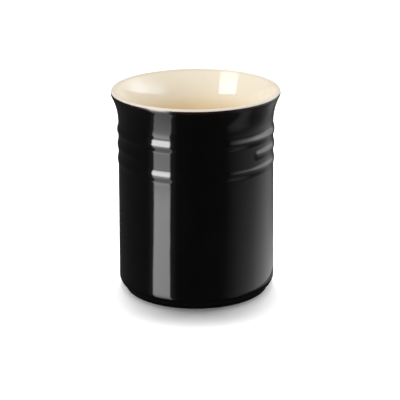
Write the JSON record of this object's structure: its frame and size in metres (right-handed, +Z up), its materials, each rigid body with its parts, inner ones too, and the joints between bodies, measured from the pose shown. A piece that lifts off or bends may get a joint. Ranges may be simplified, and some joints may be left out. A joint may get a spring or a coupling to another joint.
{
  "type": "utensil crock",
  "caption": "Round open-topped stoneware crock with a flared lip, shallow ribs round the neck and a bare foot ring; stands on a worktop and holds cooking utensils upright.",
  "frame": {"origin": "on the surface the crock stands on, under the middle of the foot ring", "axes": "+Z up along the crock's axis towards the open rim, -Y towards the plain front where the middle rib is broken"},
  "size_m": [0.1224, 0.1224, 0.15],
  "materials": {
    "stoneware": "bare fired stoneware, fine matt",
    "black_glaze": "gloss black glaze",
    "cream_glaze": "gloss cream glaze"
  },
  "bodies": {
    "root": {"stoneware_body": "stoneware", "outer_glaze": "black_glaze", "inner_glaze": "cream_glaze", "base_glaze": "black_glaze"}
  },
  "joints": []
}
